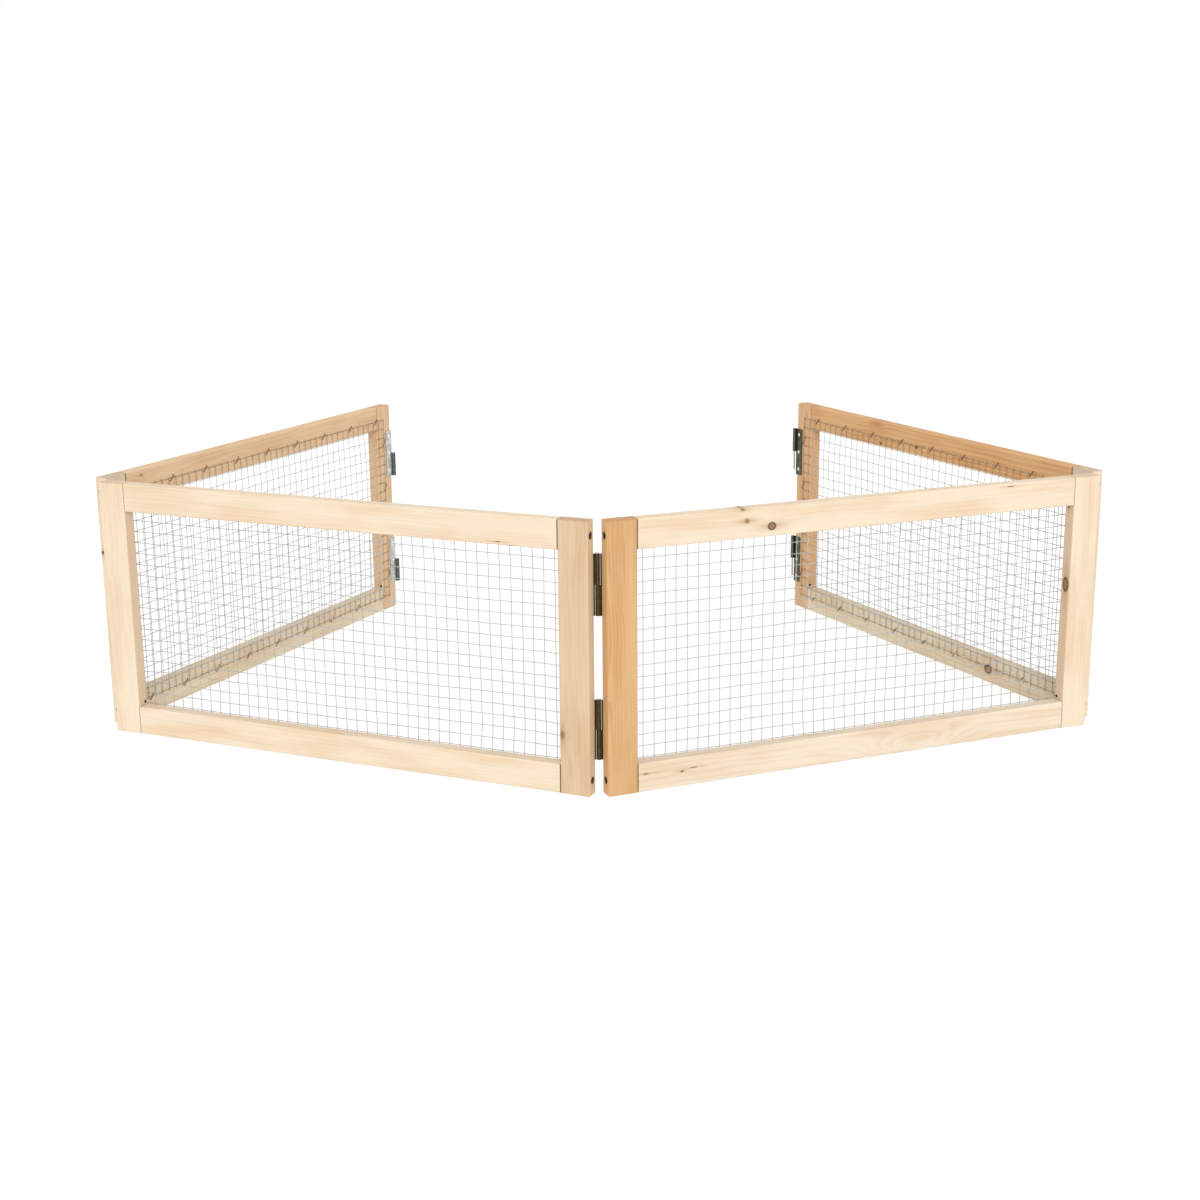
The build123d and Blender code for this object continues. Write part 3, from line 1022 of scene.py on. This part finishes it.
def pine(node, panel, board, shift):
    """The finish of one board: each step takes the colour so far and returns the next."""
    timber = Timber(node, panel, board, shift)
    late = late_wood(timber)
    colour = clear_wood(timber, late)
    if timber.upright:
        colour = narrow_face_light_and_shade(timber, colour)
    colour = sawn_ends(timber, knot_tones(timber, colour), late)
    if timber.upright:
        colour = hole_shadows(timber, colour)
    fibres = timber.noise["fibres"]
    timber.recipe.bump(fibres * FIBRE_HEIGHT + late * LATE_HEIGHT, GRAIN_DEPTH, GRAIN_STRENGTH)
    timber.recipe.paint({
        "Base Color": colour,
        "Roughness": PINE_ROUGHNESS - late * LATE_SHINE + fibres.swing() * FIBRE_ROUGHNESS,
        "Specular IOR Level": PINE_GLOSS,
    })
    return timber.recipe


shift = FIRST_SHIFT
for panel in PANELS:
    for part, board in BOARDS[panel].items():
        node = f"{panel}_{part}"
        dress(nodes[node], pine(node, panel, board, shift))
        shift += NEXT_SHIFT
print("boards dressed", sum(len(boards) for boards in BOARDS.values()))

# %% [markdown]
# ## Metal
# All the metal parts share one thing: their surface is never even. Zinc has dull clouds with finer
# grains in them, and so has drawn or plated steel. One flat grey would look like plastic, so each
# metal starts from the same two sizes of noise, and its clouds also make it shine unevenly.

# %% Clouds, and the skin of a metal
CLOUD_SHIFT, CLOUD_DETAIL, CLOUD_CRISPNESS = 1.0, 3.0, 0.6
GRAIN_SHIFT = 4.0
GRAINS_PER_CLOUD = 6
CLOUD_PART, GRAIN_PART = 0.7, 0.3
MOTTLE_PEAKS = (0.35, 0.65)


def soft_clouds(recipe, place, scale):
    """Slow noise that is the same in every direction."""
    return recipe.noise(place, (scale,) * 3, CLOUD_SHIFT, CLOUD_DETAIL, CLOUD_CRISPNESS)


def mottle(recipe, place, scale):
    """Soft clouds, finer grains, and the share of dark mottle that the two give together."""
    cloud = soft_clouds(recipe, place, scale)
    grains = recipe.noise(place, (scale * GRAINS_PER_CLOUD,) * 3, GRAIN_SHIFT)
    return cloud, grains, (cloud * CLOUD_PART + grains * GRAIN_PART).rise(*MOTTLE_PEAKS)


def metal_skin(recipe, colour, roughness, cloud, uneven):
    """Bare metal of a colour, with its roughness raised and lowered by the clouds."""
    recipe.paint({"Base Color": colour, "Metallic": 1.0, "Roughness": roughness + cloud.swing() * uneven})


# %% [markdown]
# ### The wire of the mesh
# The wire is galvanised: bright and grey over the opening. Where it lies against the boards it is painted brown,
# as painted shade and painted reflection of the wood. Two materials would need the mesh cut in two, so one
# material reads how far a point is from the panel's edges and picks the tone.

# %% Zinc wire
WIRE_WOOD_SHADE_AND_REFLECTION = (0.52, 0.39, 0.26, 1)
# The rear panels' wire is darker and warmer than the front panels', as painted shade and reflection of the wood.
WIRE_TONES = {
    "left_rear": (0.54, 0.53, 0.51, 1),
    "left_front": (0.60, 0.61, 0.62, 1),
    "right_front": (0.60, 0.61, 0.62, 1),
    "right_rear": (0.53, 0.515, 0.49, 1),
}
WOOD_SHADE_EDGE = 1.0
WIRE_MOTTLE = 0.26
WIRE_MOTTLE_SHARE = 0.3
WIRE_RELIEF, WIRE_RELIEF_STRENGTH = 0.03 * MM, 0.4
WIRE_ROUGHNESS, WIRE_UNEVEN = 0.42, 0.25


def zinc_wire(panel, tone):
    """Galvanised wire: the distance from the panel's nearest edges says where it gets the painted shade and
    reflection of the wood.
    """
    recipe = Recipe(f"zinc_wire_{panel}")
    place = recipe.own_place(panel)
    x, _, z = recipe.parts(place)
    from_end = PANEL_LENGTH / 2 - abs(x - PANEL_LENGTH / 2)
    from_edge = PANEL_HEIGHT / 2 - abs(z - PANEL_HEIGHT / 2)
    past_stile = from_end.rise(STILE_WIDTH - WOOD_SHADE_EDGE, STILE_WIDTH + WOOD_SHADE_EDGE)
    past_rail = from_edge.rise(RAIL_HEIGHT - WOOD_SHADE_EDGE, RAIL_HEIGHT + WOOD_SHADE_EDGE)
    cloud, grains, dark = mottle(recipe, place, WIRE_MOTTLE)
    # painted shade and reflection of the wood where the wire lies over the boards
    colour = recipe.mix(WIRE_WOOD_SHADE_AND_REFLECTION, tone, past_stile * past_rail)
    colour = recipe.dim(colour, 1.0 - dark * WIRE_MOTTLE_SHARE)
    recipe.bump(grains, WIRE_RELIEF, WIRE_RELIEF_STRENGTH)
    metal_skin(recipe, colour, WIRE_ROUGHNESS, cloud, WIRE_UNEVEN)
    return recipe


for panel in PANELS:
    dress(mesh_pieces[panel], zinc_wire(panel, WIRE_TONES[panel]))
print("wire tones", len(set(WIRE_TONES.values())))

# %% [markdown]
# ### The hinge leaves
# A leaf is plated steel that has been pressed, rolled and tumbled, so it is scuffed along its height. Its tones
# are painted light and shade: the flat leaf and the rolled knuckle of each panel get their own tone, light grey
# where they face the light and dark where they lie in shade. The knuckle lies beyond the panel's end, so again a
# point's place picks the tone.

# %% Hinge plating
# Painted light and shade: each panel's tone of the flat leaf, and the tone of its knuckle, light where it faces
# the light and dark where it lies in shade.
LEAF_LIGHT_AND_SHADE_TONES = {
    "left_rear": ((0.50, 0.51, 0.49, 1), (0.11, 0.11, 0.10, 1)),
    "left_front": ((0.10, 0.085, 0.06, 1), (0.085, 0.065, 0.04, 1)),
    "right_front": ((0.10, 0.085, 0.06, 1), (0.085, 0.065, 0.04, 1)),
    "right_rear": ((0.085, 0.082, 0.068, 1), (0.12, 0.12, 0.11, 1)),
}
KNUCKLE_STARTS, KNUCKLE_FULL = 0.2, 0.9
PLATING_CLOUDS = 0.2
SCUFF_STRETCH, SCUFF_SHIFT = (1.6, 1.6, 0.12), 2.0
SCUFF_PEAKS = (0.55, 0.7)
PLATING_BRIGHTEST, CLOUD_DIMS, SCUFF_DIMS = 1.25, 0.35, 0.2
SCUFF_RELIEF, SCUFF_RELIEF_STRENGTH = 0.04 * MM, 0.3
PLATING_ROUGHNESS, PLATING_UNEVEN = 0.36, 0.3


def hinge_plating(panel, leaf, knuckle):
    """Plated steel with painted light and shade: the knuckle's tone past the panel's ends, dimmed by clouds and
    scuffs.
    """
    recipe = Recipe(f"hinge_plating_{panel}")
    place = recipe.own_place(panel)
    x, _, _ = recipe.parts(place)
    cloud = soft_clouds(recipe, place, PLATING_CLOUDS)
    scuffs = recipe.noise(place, SCUFF_STRETCH, SCUFF_SHIFT, CLOUD_DETAIL, CLOUD_CRISPNESS)
    half = PANEL_LENGTH / 2
    rolled = abs(x - half).rise(half + KNUCKLE_STARTS, half + KNUCKLE_FULL)
    brightness = PLATING_BRIGHTEST - cloud.rise(*MOTTLE_PEAKS) * CLOUD_DIMS
    brightness = brightness - scuffs.rise(*SCUFF_PEAKS) * SCUFF_DIMS
    # painted light and shade: the panel's leaf and knuckle tones
    colour = recipe.dim(recipe.mix(leaf, knuckle, rolled), brightness)
    recipe.bump(scuffs, SCUFF_RELIEF, SCUFF_RELIEF_STRENGTH)
    metal_skin(recipe, colour, PLATING_ROUGHNESS, cloud, PLATING_UNEVEN)
    return recipe


for panel in PANELS:
    plating = hinge_plating(panel, *LEAF_LIGHT_AND_SHADE_TONES[panel])
    leaves = [name for name in nodes if name.startswith(panel) and name.endswith("_leaf")]
    for name in leaves:
        dress(nodes[name], plating)
    print(panel, len(leaves), "leaves")

# %% [markdown]
# ### Staples, pins and screws
# These are small and have one tone each, so one recipe with a few settings does for all of them: dull brown staple
# wire, brighter pins and leaf screws with fine scratches along their height, and frame screws painted nearly
# black, as painted shade deep in their holes.

# %% Small metal parts
DARK_BLOOM = (0.72, 0.70, 0.68)
FAINT_BLOOM = (0.86, 0.86, 0.86)
SCRATCH_STRETCH, SCRATCH_SHIFT = (2600.0, 2600.0, 60.0), 2.0
SCRATCH_PEAKS = (0.62, 0.8)
GRAIN_HEIGHT = 0.6
SMALL_RELIEF, SMALL_RELIEF_STRENGTH = 0.05 * MM, 0.4
SMALL_UNEVEN = 0.25


def small_metal(name, tone, bloom, roughness, clouds_per_metre, scratches=0.0):
    """Metal: its tone, times the bloom's shares where it is mottled, less the scratches along Z."""
    recipe = Recipe(name)
    place = recipe.node("ShaderNodeTexCoord", None, None, "Object")
    cloud, grains, dark = mottle(recipe, place, clouds_per_metre)
    lines = recipe.noise(place, SCRATCH_STRETCH, SCRATCH_SHIFT)
    colour = recipe.mix(tone, shade(tone, bloom), dark)
    colour = recipe.dim(colour, 1.0 - lines.rise(*SCRATCH_PEAKS) * scratches)
    recipe.bump(grains * GRAIN_HEIGHT + lines * scratches, SMALL_RELIEF, SMALL_RELIEF_STRENGTH)
    metal_skin(recipe, colour, roughness, cloud, SMALL_UNEVEN)
    return recipe


staple_wire = small_metal("staple_wire", (0.26, 0.165, 0.095, 1), DARK_BLOOM, 0.45, 420.0)
pin_steel = small_metal("pin_steel", (0.62, 0.62, 0.60, 1), DARK_BLOOM, 0.35, 190.0, scratches=0.2)
screw_zinc = small_metal("screw_zinc", (0.95, 0.93, 0.88, 1), FAINT_BLOOM, 0.3, 300.0, scratches=0.1)
# frame screws painted nearly black: painted shade deep in their holes
frame_screw_painted_shade = small_metal("frame_screw_painted_shade", (0.06, 0.05, 0.045, 1), DARK_BLOOM, 0.5, 300.0)
for panel in PANELS:
    dress(staple_pieces[panel], staple_wire)
    dress(nodes[f"{panel}_hinge_screws"], screw_zinc)
    dress(nodes[f"{panel}_frame_screws"], frame_screw_painted_shade)
for name in nodes:
    if name.endswith("_pin"):
        dress(nodes[name], pin_steel)
print("materials", len(bpy.data.materials))

# %% [markdown]
# ## The studio
# The pen stands on a plain white floor that runs into the background. A curved backdrop would do
# that too, but this floor is simply very wide, and so evenly bright that its far end can't be told
# from the white world behind it. It also glows, which keeps the shadows on it faint.

# %% The floor
FLOOR_HALF = 60.0
FLOOR_DROP = 0.1 * MM
FLOOR_GREY = (0.25, 0.25, 0.25, 1)
FLOOR_ROUGHNESS = 0.9
FLOOR_GLOSS = 0.1
FLOOR_GLOW = 0.76
WHITE = (1, 1, 1, 1)
floor_corners = [(-FLOOR_HALF, -FLOOR_HALF), (FLOOR_HALF, -FLOOR_HALF),
                 (FLOOR_HALF, FLOOR_HALF), (-FLOOR_HALF, FLOOR_HALF)]
floor_mesh = bpy.data.meshes.new("studio_floor")
floor_mesh.from_pydata([(x, y, -FLOOR_DROP) for x, y in floor_corners], [], [(0, 1, 2, 3)])
floor = bpy.data.objects.new("studio_floor", floor_mesh)
bpy.context.scene.collection.objects.link(floor)
floor_paint = Recipe("studio_floor")
floor_paint.paint({
    "Base Color": FLOOR_GREY,
    "Roughness": FLOOR_ROUGHNESS,
    "Specular IOR Level": FLOOR_GLOSS,
    "Emission Color": WHITE,
    "Emission Strength": FLOOR_GLOW,
})
dress(floor, floor_paint)
print("floor", 2 * FLOOR_HALF, "m wide")

# %% [markdown]
# Soft white light comes from all round, and one broad lamp from the front and above gives the boards
# a light side and a shaded one. A sun lamp is used because its light is the same at every panel, and
# a wide angle makes its shadows as soft as those of a large softbox.

# %% The light
WORLD_STRENGTH = 1.0
LAMP_AIM = Vector((-0.05, 0.86, -0.51))
LAMP_POWER = 1.7
LAMP_SPREAD = math.radians(25)
world = bpy.data.worlds.new("studio")
world.use_nodes = True
world.node_tree.nodes["Background"].inputs["Color"].default_value = WHITE
world.node_tree.nodes["Background"].inputs["Strength"].default_value = WORLD_STRENGTH
bpy.context.scene.world = world
bpy.context.scene.view_settings.view_transform = "Standard"

front_light = bpy.data.lights.new("front_lamp", "SUN")
front_light.energy = LAMP_POWER
front_light.angle = LAMP_SPREAD
front_lamp = bpy.data.objects.new("front_lamp", front_light)
front_lamp.rotation_mode = "QUATERNION"
front_lamp.rotation_quaternion = LAMP_AIM.to_track_quat("-Z", "Y")
bpy.context.scene.collection.objects.link(front_lamp)
print("lamp of", LAMP_POWER, "aimed along", [round(value, 2) for value in LAMP_AIM])

# %% [markdown]
# ## The camera
# The photograph was taken from straight in front, 2.3 metres away, looking down by some fifteen
# degrees. Turning a camera by hand until it fits is slow and never quite right. This one is built
# from the solved facts instead: its place, a tilt about X, and a very small turn about its own line
# of sight.

# %% Camera
CAMERA_PLACE = Vector((0.83, -2237.4, 700.3)) * MM
LOOKING_DOWN = math.radians(14.78)
ROLL = math.radians(-0.465)
LENS, SENSOR = 54.876, 36.0
SIGHT = 200.0
camera_data = bpy.data.cameras.new("photo_camera")
camera_data.lens = LENS
camera_data.sensor_width = SENSOR
camera_data.clip_end = SIGHT
camera = bpy.data.objects.new("photo_camera", camera_data)
camera.matrix_world = (
    Matrix.Translation(CAMERA_PLACE)
    @ Matrix.Rotation(math.pi / 2 - LOOKING_DOWN, 4, "X")
    @ Matrix.Rotation(ROLL, 4, "Z")
)
bpy.context.scene.collection.objects.link(camera)
bpy.context.scene.camera = camera
print("camera", round(CAMERA_PLACE.length, 2), "m from the origin")
